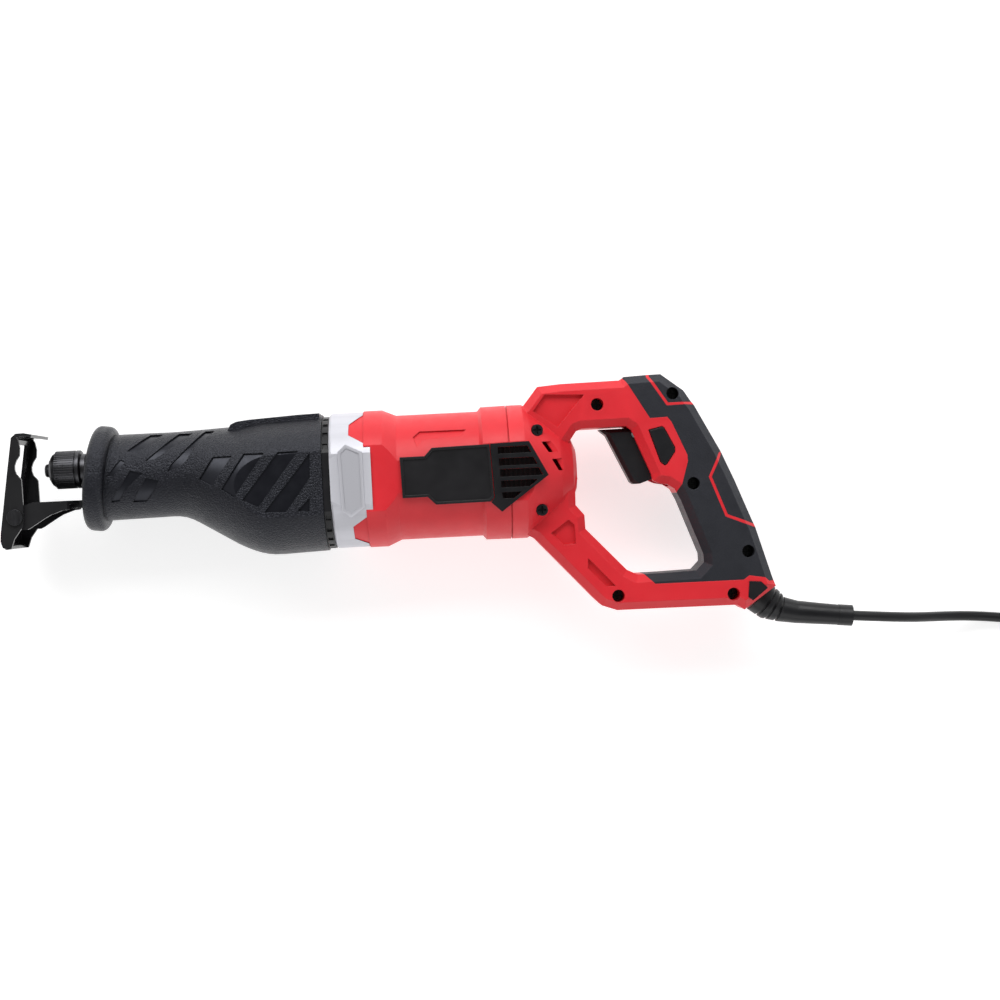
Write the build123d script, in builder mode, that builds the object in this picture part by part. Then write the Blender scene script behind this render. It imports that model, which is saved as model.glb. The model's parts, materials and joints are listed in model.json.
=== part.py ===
from build123d import *
import math
import os

os.makedirs("parts", exist_ok=True)

# Corded reciprocating saw lying on its right side. Millimetres.
# +X runs from the shoe to the rear handle, +Y is the saw's own "up", +Z is its left side.
# The origin is on the resting flat, straight under the motor axis, at the joint between
# the motor housing and the rear handle.

# ---- driving dimensions -------------------------------------------------------------
H = 38.0  # height of the mid-plane over the table, and half the width over the pads
spindle_y = 14.75  # spindle axis above the motor axis
stroke = 28.0
spindle_r = 7.0
collar_r = 11.4
barrel_r = 37.2  # red motor barrel
collar_motor_r = 40.3  # raised ends of the barrel
flat_half = 36.0  # the barrels are flattened at the sides to this half width
bore_r = 34.2  # motor bore
gear_x = -142.0  # crank gear axis
crank_r = stroke / 2
gear_teeth = 42
pinion_teeth = 7
tooth_module = 1.25
handle_half = 17.5  # half thickness of the D-handle
skin = 2.5  # rubber skin of the grip
wall = 5.5  # handle wall, skin included
rivet = (-291.9, -12.3)  # shoe pivot
rivet_r = 3.4
trigger_pivot = (75.5, 18.6)
trigger_half = 8.0
cord_d = 6.0
coil_centre = (355.0, -69.0)
coil_r = 35.0
coil_section = 18.4
plug_x = 396.0
run_fit = 0.06  # radial clearance of a running fit

# ---- helpers ------------------------------------------------------------------------


def rod_x(x0, x1, y, r, mode=Mode.ADD):
    """Cylinder along X in the mid-plane at height y."""
    with Locations(((x0 + x1) / 2, y, H)):
        Cylinder(r, x1 - x0, rotation=(0, 90, 0), mode=mode)


def rod_y(y0, y1, x, z, r, mode=Mode.ADD):
    with Locations((x, (y0 + y1) / 2, z)):
        Cylinder(r, y1 - y0, rotation=(90, 0, 0), mode=mode)


def rod_z(z0, z1, x, y, r, mode=Mode.ADD):
    """Cylinder along Z, its ends given from the mid-plane."""
    with Locations((x, y, H + (z0 + z1) / 2)):
        Cylinder(r, z1 - z0, mode=mode)


def block(x0, x1, y0, y1, z0, z1, mode=Mode.ADD):
    """Box, its Z limits given from the mid-plane."""
    with Locations(((x0 + x1) / 2, (y0 + y1) / 2, H + (z0 + z1) / 2)):
        Box(x1 - x0, y1 - y0, z1 - z0, mode=mode)


def across(x, y=0.0, tilt=0.0):
    """Plane across the saw at x, its normal along +X turned by tilt degrees about Z."""
    c, s = math.cos(math.radians(tilt)), math.sin(math.radians(tilt))
    return Plane(origin=(x, y, H), x_dir=(-s, c, 0), z_dir=(c, s, 0))


def flat_face(points, z):
    """Level polygonal face at height z over the table."""
    return Face(Wire.make_polygon([(x, y, z) for x, y in points], close=True))


def prism(points, z0, z1, mode=Mode.ADD):
    """Upright prism on a polygon, its Z limits given from the mid-plane."""
    extrude(flat_face(points, H + z0), amount=z1 - z0, dir=(0, 0, 1), mode=mode)


def turned(points, y=0.0, mode=Mode.ADD):
    """Body of revolution about a line along X at height y; points are (x, radius)."""
    face = flat_face([(x, y + r) for x, r in points], H)
    revolve(face, axis=Axis((0, y, H), (1, 0, 0)), mode=mode)


def save(piece, name):
    piece.part.label = name
    export_step(piece.part, "parts/" + name + ".step")


# ---- gear case form: round sections along X, (x, centre height, radius) ------------------
case_stations = [
    (-246.0, 8.6, 25.7),
    (-202.0, 8.85, 25.25),
    (-198.0, 8.8, 25.35),
    (-194.0, 8.45, 25.8),
    (-190.0, 7.75, 26.65),
    (-186.0, 6.75, 27.8),
    (-163.0, 0.2, 35.3),
    (-158.0, -0.6, 37.0),
    (-154.0, -1.1, 38.2),
    (-150.0, -1.5, 39.2),
    (-146.0, -1.75, 39.95),
    (-142.0, -1.9, 40.3),
    (-136.0, -1.85, 40.45),
    (-109.5, -0.9, 40.5),
    (-100.0, -0.9, 40.5),
]


def case_form(inset, x0, x1, mode=Mode.ADD):
    """The gear case's round, tapering form between x0 and x1, drawn in by inset."""

    def at(x):
        for (xa, ya, ra), (xb, yb, rb) in zip(case_stations, case_stations[1:]):
            if xa <= x <= xb:
                t = (x - xa) / (xb - xa)
                return (x, ya + t * (yb - ya), ra + t * (rb - ra))

    row = [at(x0)] + [s for s in case_stations if x0 + 0.5 < s[0] < x1 - 0.5] + [at(x1)]
    faces = [Face(Wire.make_circle(r - inset, across(x, y))) for x, y, r in row]
    loft(sections=faces, ruled=True, mode=mode)


# ---- rubber boot over the gear case --------------------------------------------------------
windows = [  # smooth recessed pads of the boot's sides
    [(-181.7, 4.5), (-173.2, 17.1), (-161.7, 17.2), (-174.1, 0.2)],
    [(-168.6, -2.1), (-154.6, 18.0), (-142.6, 17.8), (-161.2, -7.3)],
    [(-156.6, -9.0), (-134.6, 17.8), (-122.6, 17.9), (-147.3, -13.7)],
    [(-144.1, -16.8), (-116.0, 16.4), (-116.7, 2.0), (-128.5, -13.7), (-131.6, -17.4)],
    [(-124.8, -16.8), (-117.3, -9.5), (-117.7, -17.7)],
]
sleeve_pads = [  # smooth shallow pads of the boot's narrow end
    [(-224.3, 23.5), (-212.0, 32.6), (-204.6, 32.5), (-219.5, 21.4)],
    [(-213.5, 16.9), (-195.0, 32.4), (-186.8, 32.2), (-204.7, 19.6), (-208.2, 17.7)],
    [(-200.7, 10.0), (-197.9, 14.6), (-179.3, 33.0), (-173.4, 33.0), (-185.4, 22.9),
     (-189.2, 15.7), (-194.1, 11.8)],
    [(-236.0, 9.3), (-228.2, 18.4), (-225.1, 17.0), (-232.6, 8.6)],
    [(-235.4, -6.3), (-222.5, 11.6), (-215.0, 9.9), (-225.9, 0.8), (-230.2, -5.8)],
    [(-222.4, -6.7), (-213.5, 7.2), (-205.8, 5.3), (-209.0, -0.6), (-214.5, -6.9)],
]
with BuildPart() as boot_pads:
    case_form(1.1, -245.0, -110.5)
    block(-300, 0, -60, 60, -flat_half + 1.1, flat_half - 1.1, mode=Mode.INTERSECT)

with BuildPart() as sleeve_form:
    case_form(0.8, -245.0, -168.0)

with BuildPart() as case_outside:
    case_form(2.6, -237.5, -109.5)
    block(-300, 0, -60, 60, -flat_half + 2.6, flat_half - 2.6, mode=Mode.INTERSECT)
with BuildPart() as case_inside:
    case_form(6.4, -174.0, -104.0)
    block(-300, 0, -60, 60, -flat_half + 6.2, flat_half - 6.2, mode=Mode.INTERSECT)

with BuildPart() as boot_flange:  # the boot's thick front rim
    with BuildSketch(across(-249.6, 9.3, -8.0)):
        Circle(31.5)
    extrude(amount=12.0)
    fillet(boot_flange.edges(), 4.0)

with BuildPart() as boot:
    case_form(0.0, -246.0, -109.5)
    add(boot_flange.part)
    block(-300, 0, -60, 60, -flat_half, flat_half, mode=Mode.INTERSECT)
    rod_x(-262, -237, spindle_y, 13.5, mode=Mode.SUBTRACT)
    block(-262, -237, -9.6, -2.4, -12.5, 12.5, mode=Mode.SUBTRACT)
    # raised rib along the top of the bulge
    with BuildSketch(Plane(origin=(0, 0, H))):
        Polygon((-167, 30), (-164, 36.2), (-160.5, 37.8), (-153.5, 38.6), (-123.4, 40.1),
                (-111, 40.4), (-111, 30), align=None)
    extrude(amount=13.0, both=True)
    add(case_outside.part, mode=Mode.SUBTRACT)
    # recessed pads: the form is cut back behind each window, both sides
    for side in (1, -1):
        for pts in windows:
            z0, z1 = (14, 60) if side > 0 else (-60, -14)
            cut = extrude(
                flat_face(pts, H + z0), amount=z1 - z0, dir=(0, 0, 1), mode=Mode.PRIVATE,
            )
            add(cut - boot_pads.part, mode=Mode.SUBTRACT)
        for pts in sleeve_pads:
            z0, z1 = (8, 60) if side > 0 else (-60, -8)
            cut = extrude(
                flat_face(pts, H + z0), amount=z1 - z0, dir=(0, 0, 1), mode=Mode.PRIVATE,
            )
            add(cut - sleeve_form.part, mode=Mode.SUBTRACT)
save(boot, "boot")

# ---- gear case casting --------------------------------------------------------------------
with BuildPart() as gear_case:
    add(case_outside.part)
    rod_x(-109.5, -105.0, -0.9, 34.4)
    block(-300, 0, -60, 60, -flat_half + 2.6, flat_half - 2.6, mode=Mode.INTERSECT)
    add(case_inside.part, mode=Mode.SUBTRACT)
    turned([(-116, 29), (-116, 35.6), (-109.6, 35.6), (-109.6, 33.4), (-105, 33.4), (-105, 29)])
    block(-300, 0, -60, 60, -flat_half + 2.6, flat_half - 2.6, mode=Mode.INTERSECT)
    rod_y(-38.0, -20.0, gear_x, H, 9.5)
    rod_y(-36.0, -19.0, gear_x, H, 5.0, mode=Mode.SUBTRACT)
    rod_x(-240, -173, spindle_y, 10.0, mode=Mode.SUBTRACT)
    block(-240, -198, -9.0, -3.2, -9.6, 9.6, mode=Mode.SUBTRACT)
    for k in range(4):
        a = math.radians(45 + 90 * k)
        with Locations((-111, 31.5 * math.cos(a), H + 31.5 * math.sin(a))):
            Cylinder(2.0, 14.0, rotation=(0, 90, 0), mode=Mode.SUBTRACT)
save(gear_case, "gear_case")

for name, x0, x1 in (("bush_front", -236.5, -222.0), ("bush_rear", -190.0, -174.5)):
    with BuildPart() as bush:
        rod_x(x0, x1, spindle_y, 10.0)
        rod_x(x0 - 1, x1 + 1, spindle_y, spindle_r + run_fit, mode=Mode.SUBTRACT)
    save(bush, name)

with BuildPart() as spindle_seal:
    rod_x(-221.5, -216.5, spindle_y, 10.0)
    rod_x(-223, -215, spindle_y, spindle_r + 0.1, mode=Mode.SUBTRACT)
save(spindle_seal, "spindle_seal")

# ---- vent ring between boot and front flange ------------------------------------------------
with BuildPart() as vent_ring:
    rod_x(-109.4, -105.0, -0.9, 39.3)
    block(-300, 0, -60, 60, -flat_half + 0.6, flat_half - 0.6, mode=Mode.INTERSECT)
    rod_x(-112, -104, -0.9, 34.5, mode=Mode.SUBTRACT)
    for k in range(28):
        a = math.radians(360 / 28 * (k + 0.5))
        with Locations(Location((-107.2, -0.9 + 39.6 * math.cos(a), H + 39.6 * math.sin(a)),
                                (math.degrees(a), 0, 0))):
            Box(3.0, 2.4, 3.4, mode=Mode.SUBTRACT)
save(vent_ring, "vent_ring")

# ---- front flange of the motor: cast ring with tongues on the sides --------------------------
notch_up = [(-60, 37.6), (-85.5, 37.6), (-93.3, 32), (-93.5, 25.7), (-81.2, 18.5), (-60, 18.5)]
notch_low = [(-60, -38), (-85.5, -38), (-93, -34.8), (-93.2, -27.7), (-81.2, -20.1), (-60, -20.1)]
hex_pad = [(-95.2, 20.3), (-99.9, 15.9), (-98.8, -18.4), (-93.7, -22.2), (-85.6, -16.8),
           (-85.6, 15.5)]
hex_field = [(-94.9, 17.9), (-98.1, 15.0), (-97.0, -17.4), (-93.6, -19.9), (-87.4, -15.8),
             (-87.4, 14.5)]
with BuildPart() as flange_ring:
    turned([(-105, 0), (-105, 39.2), (-103.8, collar_motor_r), (-80.9, collar_motor_r), (-80.9, 0)])
    block(-300, 0, -60, 60, -37.4, 37.4, mode=Mode.INTERSECT)
    prism(notch_up, -50, 50, mode=Mode.SUBTRACT)
    prism(notch_low, -50, 50, mode=Mode.SUBTRACT)
    block(-85.2, -60, 37.6, 60, -50, 50, mode=Mode.SUBTRACT)
    block(-85.2, -60, -60, -38, -50, 50, mode=Mode.SUBTRACT)
    rod_x(-100.0, -60, 0, bore_r, mode=Mode.SUBTRACT)
    rod_x(-110.0, -60, 0, 11.0, mode=Mode.SUBTRACT)
    for k in range(4):
        a = math.radians(45 + 90 * k)
        with Locations((-102, 31.5 * math.cos(a), H + 31.5 * math.sin(a))):
            Cylinder(2.0, 10.0, rotation=(0, 90, 0), mode=Mode.SUBTRACT)
        b = math.radians(90 * k)
        with Locations((-102, 22 * math.cos(b), H + 22 * math.sin(b))):
            Cylinder(6.0, 10.0, rotation=(0, 90, 0), mode=Mode.SUBTRACT)
    for z0, z1 in ((37.4, H), (-H, -37.4)):
        prism(hex_pad, z0, z1)
    for z0, z1 in ((37.6, H + 1), (-H - 1, -37.6)):  # field sunk inside the tongue's rim
        prism(hex_field, z0, z1, mode=Mode.SUBTRACT)
save(flange_ring, "front_flange")

with BuildPart() as gear_case_screws:
    for k in range(4):
        a = math.radians(45 + 90 * k)
        y, z = 31.5 * math.cos(a), H + 31.5 * math.sin(a)
        with Locations((-106.5, y, z)):
            Cylinder(1.98, 13.0, rotation=(0, 90, 0))
        with Locations((-98.6, y, z)):
            Cylinder(2.6, 2.8, rotation=(0, 90, 0))
            with Locations((0.9, 0, 0)):
                Box(2.2, 4.0, 0.7, mode=Mode.SUBTRACT)
save(gear_case_screws, "gear_case_screws")

# ---- motor housing --------------------------------------------------------------------------
slots = [
    [(-7.0, 14.4), (10.3, 14.4), (12.4, 10.4), (-6.9, 10.4)],
    [(-6.7, 7.7), (13.4, 7.7), (15.6, 3.4), (-6.6, 3.4)],
    [(-6.4, 1.4), (16.4, 1.4), (18.5, -3.0), (-6.3, -3.0)],
    [(-6.2, -5.3), (15.6, -5.3), (10.6, -9.2), (-6.1, -9.2)],
    [(-5.9, -12.0), (6.0, -12.0), (1.4, -15.6), (-5.4, -15.6)],
]
with BuildPart() as motor_housing:
    turned([(-94, 0), (-94, 39.9), (-84.8, 39.9), (-84.8, 40.8), (-74, 40.8), (-65.8, barrel_r),
            (-17.4, barrel_r), (-15.3, 39.7), (-0.7, 39.9), (-0.7, 38.6), (0, 38.6), (0, 0)])
    block(-300, 50, -60, 60, -flat_half, flat_half, mode=Mode.INTERSECT)
    rod_x(-110, -7.0, 0, bore_r, mode=Mode.SUBTRACT)
    add(flange_ring.part, mode=Mode.SUBTRACT)
    rod_x(-20, 10, 0, 9.5, mode=Mode.SUBTRACT)
    for k in range(6):  # air passages of the rear web
        a = math.radians(60 * k + 30)
        with Locations((-3.5, 22 * math.cos(a), H + 22 * math.sin(a))):
            Cylinder(6.5, 12.0, rotation=(0, 90, 0), mode=Mode.SUBTRACT)
    for low, high in ((flat_half - 1.0, 41), (-41, -flat_half + 1.0)):  # shadow gap at the joint
        block(-0.7, 1, -40, 40, low, high, mode=Mode.SUBTRACT)
    for s in slots:  # air slots behind the grilles
        for low, high in ((22.0, 40), (-40, -22.0)):
            prism(s, low, high, mode=Mode.SUBTRACT)
    # long hexagonal hollow on each side of the barrel, above the plate
    hollow = [(-55.9, 22.6), (-51.9, 25.9), (-24.8, 25.7), (-28.7, 22.5), (-50.3, 21.2),
              (-53.7, 16.9)]
    for z0, z1 in ((26.0, 40), (-40, -26.0)):
        cut = extrude(
            flat_face(hollow, H + z0), amount=z1 - z0, dir=(0, 0, 1), mode=Mode.PRIVATE,
        ) - Pos(-33, 0, H) * Rot(0, 90, 0) * Cylinder(36.2, 120, mode=Mode.PRIVATE)
        add(cut, mode=Mode.SUBTRACT)
save(motor_housing, "motor_housing")

# ---- side plates and grilles -----------------------------------------------------------------
plate = [(-64, 11.2), (-49.6, 11.2), (-45.2, 15.8), (-11.8, 16.3), (-10.5, -14.6),
         (-12.8, -17.0), (-44.2, -17.2), (-48.9, -12.5), (-63.4, -12.5)]
plate_in = [(-62.4, 9.8), (-49.0, 9.8), (-44.6, 14.3), (-12.9, 14.9), (-11.9, -13.9),
            (-13.5, -15.6), (-43.6, -15.8), (-48.3, -11.1), (-62.0, -11.1)]
grille = [(-11.3, 16.5), (11.3, 16.9), (21.7, -3.2), (-6.3, -23.2), (-12.3, -17.4),
          (-10.0, -14.8)]
underlay = Pos(-50, 0, H) * (
    Rot(0, 90, 0) * Cylinder(barrel_r, 90) & Box(90, 90, 2 * flat_half)
)
for name, up in (("left", True), ("right", False)):
    low, high = (30.0, H) if up else (-H, -30.0)
    with BuildPart() as side_plate:
        prism(plate, low, high)
        add(underlay, mode=Mode.SUBTRACT)
        block(-17.5, 0, -30, 30, -flat_half, flat_half, mode=Mode.SUBTRACT)
        if up:
            prism(plate_in, H - 0.8, H + 1, mode=Mode.SUBTRACT)
        else:
            prism(plate_in, -H - 1, -H + 0.8, mode=Mode.SUBTRACT)
    save(side_plate, "side_plate_" + name)
    low, high = (flat_half, H) if up else (-H, -flat_half)
    with BuildPart() as side_grille:
        prism(grille, low, high)
        for s in slots:
            prism(s, low - 1, high + 1, mode=Mode.SUBTRACT)
    save(side_grille, "grille_" + name)

# ---- rear handle ----------------------------------------------------------------------------
outer = [(2, 34), (10, 38.6), (18.8, 49.4), (32.4, 50.4), (68.2, 50.8), (70.2, 52.7),
         (83.6, 53.2), (92.1, 53.3), (105.2, 43), (108.9, 37), (111.1, 34), (125.2, 6.6),
         (132.8, -11.5), (142.2, -36.3), (143.8, -40.1), (152.4, -70.3), (154.2, -75.4),
         (135.1, -88.5), (130.8, -85.5), (85, -85.2), (59.6, -85.1), (50.7, -81.9),
         (46.7, -77.8), (13, -40.3), (10.5, -39), (2, -34)]
opening = [(34, 13), (40.7, 22.3), (44.0, 23.4), (70.2, 23.6), (73.2, 21.2), (83.9, -5.7),
           (84.6, -9.6), (87.7, -11.0), (93, -12.1), (97.2, -15.0), (100.5, -21.8),
           (112.3, -54.6), (112.4, -59.2), (107.6, -64.0), (87.5, -64.5), (72.6, -64.6),
           (66.4, -61.4), (43.2, -36), (43, -27.7), (38.1, -21.7), (38.3, -13.4),
           (40.0, -6.0), (38.1, 4.5)]
rubber_zone = [(69.5, 56), (96, 56), (109.5, 45), (160, -60), (158, -71.6), (150, -72.1),
               (147.4, -69.8), (138.1, -68.2), (134.7, -70.6), (82.5, -70.4), (75.9, -63.9),
               (74, -60), (95, -40), (98.5, -16.5), (101.3, -12.3), (105.3, 0.9), (105.2, 4.6),
               (96.8, 24.5), (94.4, 27.7), (84.2, 27.4), (71, 50), (69.5, 51.6)]
stripe_1 = [(84.6, 56), (84.2, 52.0), (94.9, 35.2), (113.5, 35.1)]
stripe_2 = [(127.5, 10), (124.6, 4.4), (118.0, -8.9), (126.5, -32.2), (148.0, -41.0)]
screw_spots = [(16.9, 23.4), (17.5, -23.5), (53.5, 37.1), (60.4, -76.5), (98.3, 41.4),
               (108.0, -12.3), (138.3, -53.9), (128.4, -78.7)]
screw_seat = [24.0, 24.0, 4.0, 4.0, 4.0, 4.0, 4.0, 4.0]
pocket_1 = [(15.4, 34.9), (29.6, 24.6), (46.0, 43.2), (22.7, 44.4)]
pocket_2 = [(22.6, -37.4), (29.6, -44.9), (36.8, -44.4), (36.5, -33.2), (33.2, -30.0)]
pocket_3 = [(43.6, -53.3), (43.2, -59.3), (53.6, -70.6), (59.0, -70.4)]
vent_a = [(18.8, 16.4), (21.7, 16.4), (25.6, 10.1), (22.9, 10.1)]
vent_b = [(24.5, 6.0), (27.4, 6.0), (30.8, -0.8), (28.4, -0.8)]
scoop_a = [(21.4, 16.4), (26.6, 16.6), (30.2, 10.0), (25.3, 10.1)]
scoop_b = [(27.1, 6.0), (33.0, 6.8), (35.0, -0.9), (30.5, -0.8)]
badge = [(137.9, -71.6), (144.9, -72.2), (148.6, -76.1), (139.5, -83.1), (136.9, -80.9)]
trigger_slot = [(69.4, 25.6), (83, 25.6), (91.5, 8), (95.8, -5), (95.8, -13.2), (83.2, -13.2),
                (81, -8), (68, 22)]
button_shape = [(82.8, 20.6), (91.0, 22.4), (92.4, 21.4), (98.2, 9.5), (98.1, 6.9),
                (92.9, -0.3), (91.4, -0.9), (88.9, 1.3)]

# the handle as one body on the left of the mid-plane: grip plate plus the motor's end cap
with BuildPart() as handle_form:
    with BuildSketch(Plane.XY.offset(H)):
        Polygon(*outer, align=None)
        Polygon(*opening, align=None, mode=Mode.SUBTRACT)
    extrude(amount=handle_half)
    chamfer(handle_form.faces().sort_by(Axis.Z)[-1].edges(), 4.6)
with BuildPart() as cap_form:
    turned([(0, 0), (0, 39.9), (9, 39.9), (12, 38.2), (30.4, 25.6), (37.6, 18), (40, 12), (40, 0)])
    block(-1, 60, -60, 60, 0, flat_half, mode=Mode.INTERSECT)
with BuildPart() as handle_core:  # what the rubber skin lies on
    for inset, high in ((skin, handle_half - 5.6), (skin + 3.4, handle_half - skin)):
        with BuildSketch(Plane.XY.offset(H)):
            Polygon(*outer, align=None)
            Polygon(*opening, align=None, mode=Mode.SUBTRACT)
            offset(amount=-inset, kind=Kind.INTERSECTION)
        extrude(amount=high)
with BuildPart() as handle_hollow:
    with BuildSketch(Plane.XY.offset(H)):
        Polygon(*outer, align=None)
        Polygon(*opening, align=None, mode=Mode.SUBTRACT)
        offset(amount=-wall, kind=Kind.INTERSECTION)
    extrude(amount=handle_half - wall)
    turned([(-1, 0), (-1, 36.2), (8, 36.2), (10.4, 34.9), (28.2, 22.8), (34.6, 16), (36.6, 10),
            (36.6, 0)])
    block(-2, 200, -120, 80, 0, flat_half - 3.2, mode=Mode.INTERSECT)
    for k, (x, y) in enumerate(screw_spots):
        rod_z(-1, 40, x, y, 5.6 if k < 2 else 6.0, mode=Mode.SUBTRACT)
with BuildPart() as rubber_form:
    with BuildSketch(Plane.XY.offset(H)):
        Polygon(*rubber_zone, align=None)
        with BuildLine():
            Polyline(*stripe_1)
        trace(line_width=1.7, mode=Mode.SUBTRACT)
        with BuildLine():
            Polyline(*stripe_2)
        trace(line_width=1.7, mode=Mode.SUBTRACT)
    extrude(amount=handle_half + 1)
with BuildPart() as grip_skin:
    add(handle_form.part)
    add(rubber_form.part, mode=Mode.INTERSECT)
    add(handle_core.part, mode=Mode.SUBTRACT)
with BuildPart() as shell_blank:
    add(handle_form.part)
    add(cap_form.part)
    add(grip_skin.part, mode=Mode.SUBTRACT)
    add(handle_hollow.part, mode=Mode.SUBTRACT)
    prism(trigger_slot, -1, trigger_half + 0.6, mode=Mode.SUBTRACT)
    rod_z(-1, handle_half - wall, *trigger_pivot, 2.0, mode=Mode.SUBTRACT)
    for pts in (pocket_1, pocket_2, pocket_3):
        prism(pts, handle_half - 2.6, handle_half + 3, mode=Mode.SUBTRACT)
    for pts in (vent_a, vent_b):
        prism(pts, handle_half + 1, 40, mode=Mode.SUBTRACT)
    for pts in (scoop_a, scoop_b):  # level shelves beside the cap's vents
        prism(pts, 24.4, 40, mode=Mode.SUBTRACT)
    for s in slots:  # air slots behind the grille
        prism(s, 30, 40, mode=Mode.SUBTRACT)
    prism(badge, handle_half - 1.2, handle_half + 2, mode=Mode.SUBTRACT)

for name, up in (("left", True), ("right", False)):
    with BuildPart() as handle_shell:
        if up:
            add(shell_blank.part)
            prism(button_shape, -1, 30, mode=Mode.SUBTRACT)
            for (x, y), seat in zip(screw_spots, screw_seat):
                rod_z(seat, 40, x, y, 3.7, mode=Mode.SUBTRACT)
                rod_z(-1, seat + 1, x, y, 2.1, mode=Mode.SUBTRACT)
        else:
            add(mirror(shell_blank.part, about=Plane.XY.offset(H), mode=Mode.PRIVATE))
            for x, y in screw_spots:
                rod_z(-10.5, 1, x, y, 1.9, mode=Mode.SUBTRACT)
    save(handle_shell, "handle_shell_" + name)
    with BuildPart() as grip:
        if up:
            add(grip_skin.part)
            for (x, y), seat in zip(screw_spots, screw_seat):
                rod_z(seat, 40, x, y, 3.7, mode=Mode.SUBTRACT)
        else:
            add(mirror(grip_skin.part, about=Plane.XY.offset(H), mode=Mode.PRIVATE))
    save(grip, "grip_" + name)
    with BuildPart() as corner_badge:
        if up:
            prism(badge, handle_half - 1.2, handle_half + 0.4)
        else:
            prism(badge, -handle_half - 0.4, -handle_half + 1.2)
    save(corner_badge, "corner_badge_" + name)

with BuildPart() as handle_screws:
    for (x, y), seat in zip(screw_spots, screw_seat):
        rod_z(seat, seat + 2.6, x, y, 3.4)
        rod_z(-10, seat, x, y, 1.88)
        block(x - 2.4, x + 2.4, y - 0.5, y + 0.5, seat + 1.4, seat + 3, mode=Mode.SUBTRACT)
        block(x - 0.5, x + 0.5, y - 2.4, y + 2.4, seat + 1.4, seat + 3, mode=Mode.SUBTRACT)
save(handle_screws, "handle_screws")

# ---- trigger, lock button, switch -----------------------------------------------------------
with BuildPart() as trigger:
    with BuildSketch(Plane.XY.offset(H - trigger_half)) as trigger_sketch:
        Polygon((54.6, 22.4), (58.8, 18.8), (66.9, 1.3), (72.0, -9.6), (73.8, -10.9),
                (77.3, -10.9), (84.4, -8.6), (88.2, -6.0), (81, 16), (78.6, 22.6), align=None)
    extrude(amount=2 * trigger_half)
    front = [e for e in trigger.edges().filter_by(Axis.Z, reverse=True)
             if e.center().X < 73.5 and abs(e.center().Z - H) > 7.9]
    chamfer(front, 2.2)
    rod_z(-10, 10, *trigger_pivot, 2.06, mode=Mode.SUBTRACT)
save(trigger, "trigger")

with BuildPart() as trigger_pin:
    rod_z(-handle_half + wall + 0.01, handle_half - wall - 0.01, *trigger_pivot, 2.0)
save(trigger_pin, "trigger_pin")

with BuildPart() as lock_button:
    with BuildSketch(Plane.XY.offset(H + 12.4)):
        Polygon(*button_shape, align=None)
        offset(amount=-0.35, kind=Kind.INTERSECTION)
    extrude(amount=handle_half + 0.9 - 12.4)
    chamfer(lock_button.faces().sort_by(Axis.Z)[-1].edges(), 0.6)
save(lock_button, "lock_button")

with BuildPart() as switch_body:
    block(98.6, 114.0, -8.0, 13.0, -9.0, 9.0)
    block(114.0, 117.5, -4.0, 8.0, -7.0, 7.0)
    block(102, 110, -10.6, -8.0, -5.0, 5.0)
    rod_z(-30, 30, 108.0, -12.3, 6.4, mode=Mode.SUBTRACT)
save(switch_body, "switch_body")

# ---- electric motor ---------------------------------------------------------------------------
with BuildPart() as armature:
    turned([(-121.5, 0), (-121.5, 3.4), (-112.6, 3.4), (-112.6, 4.0), (-96.5, 4.0),
            (-96.5, 27.0), (-94.8, 27.0), (-94.8, 7.5), (-86.0, 7.5), (-86.0, 4.0),
            (-84.6, 4.0), (-84.6, 15.0), (-82.0, 15.0), (-82.0, 19.4), (-32.0, 19.4),
            (-32.0, 15.0), (-28.0, 15.0), (-28.0, 6.0), (-27.0, 6.0), (-27.0, 10.6),
            (-12.5, 10.6), (-12.5, 4.0), (3.0, 4.0), (3.0, 0)])
    for k in range(12):  # winding slots of the core
        a = math.radians(30 * k)
        with Locations(Location((-57, 18.4 * math.cos(a), H + 18.4 * math.sin(a)),
                                (math.degrees(a), 0, 0))):
            Box(52.0, 4.0, 2.0, mode=Mode.SUBTRACT)
    for k in range(9):  # fan blades
        a = math.radians(40 * k + 5)
        with Locations(Location((-91.4, 16.4 * math.cos(a), H + 16.4 * math.sin(a)),
                                (math.degrees(a), 0, 0))):
            Box(7.2, 19.6, 1.4)
    for k in range(pinion_teeth):
        a = math.radians(180 + 360 / pinion_teeth * k)
        with Locations(Location((-117.2, 4.2 * math.cos(a), H + 4.2 * math.sin(a)),
                                (math.degrees(a), 0, 0))):
            Box(8.2, 2.4, 1.1)
save(armature, "armature")

with BuildPart() as field_stack:
    rod_x(-80.0, -34.0, 0, bore_r - 0.1)
    rod_x(-81.0, -33.0, 0, 20.0, mode=Mode.SUBTRACT)
    for k in range(2):
        block(-81, -33, 22 - 52 * k, 30 - 52 * k, -13, 13, mode=Mode.SUBTRACT)
save(field_stack, "field_stack")

with BuildPart() as field_coils:
    for k in range(2):
        block(-84.0, -30.0, 22.3 - 52 * k, 29.7 - 52 * k, -12.6, 12.6)
        block(-79.0, -35.0, 24.0 - 52 * k, 28.0 - 52 * k, -20, 20, mode=Mode.SUBTRACT)
save(field_coils, "field_coils")

for name, x0, x1, r in (("bearing_front", -104.9, -98.0, 11.0), ("bearing_rear", -7.0, -0.4, 9.5)):
    with BuildPart() as bearing:
        rod_x(x0, x1, 0, r)
        rod_x(x0 - 1, x1 + 1, 0, 4.0 + run_fit, mode=Mode.SUBTRACT)
        turned([(x0 - 1, r - 1.8), (x0 + 0.5, r - 1.8), (x0 + 0.5, 5.6), (x0 - 1, 5.6)],
               mode=Mode.SUBTRACT)
        turned([(x1 + 1, r - 1.8), (x1 - 0.5, r - 1.8), (x1 - 0.5, 5.6), (x1 + 1, 5.6)],
               mode=Mode.SUBTRACT)
    save(bearing, name)

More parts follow.
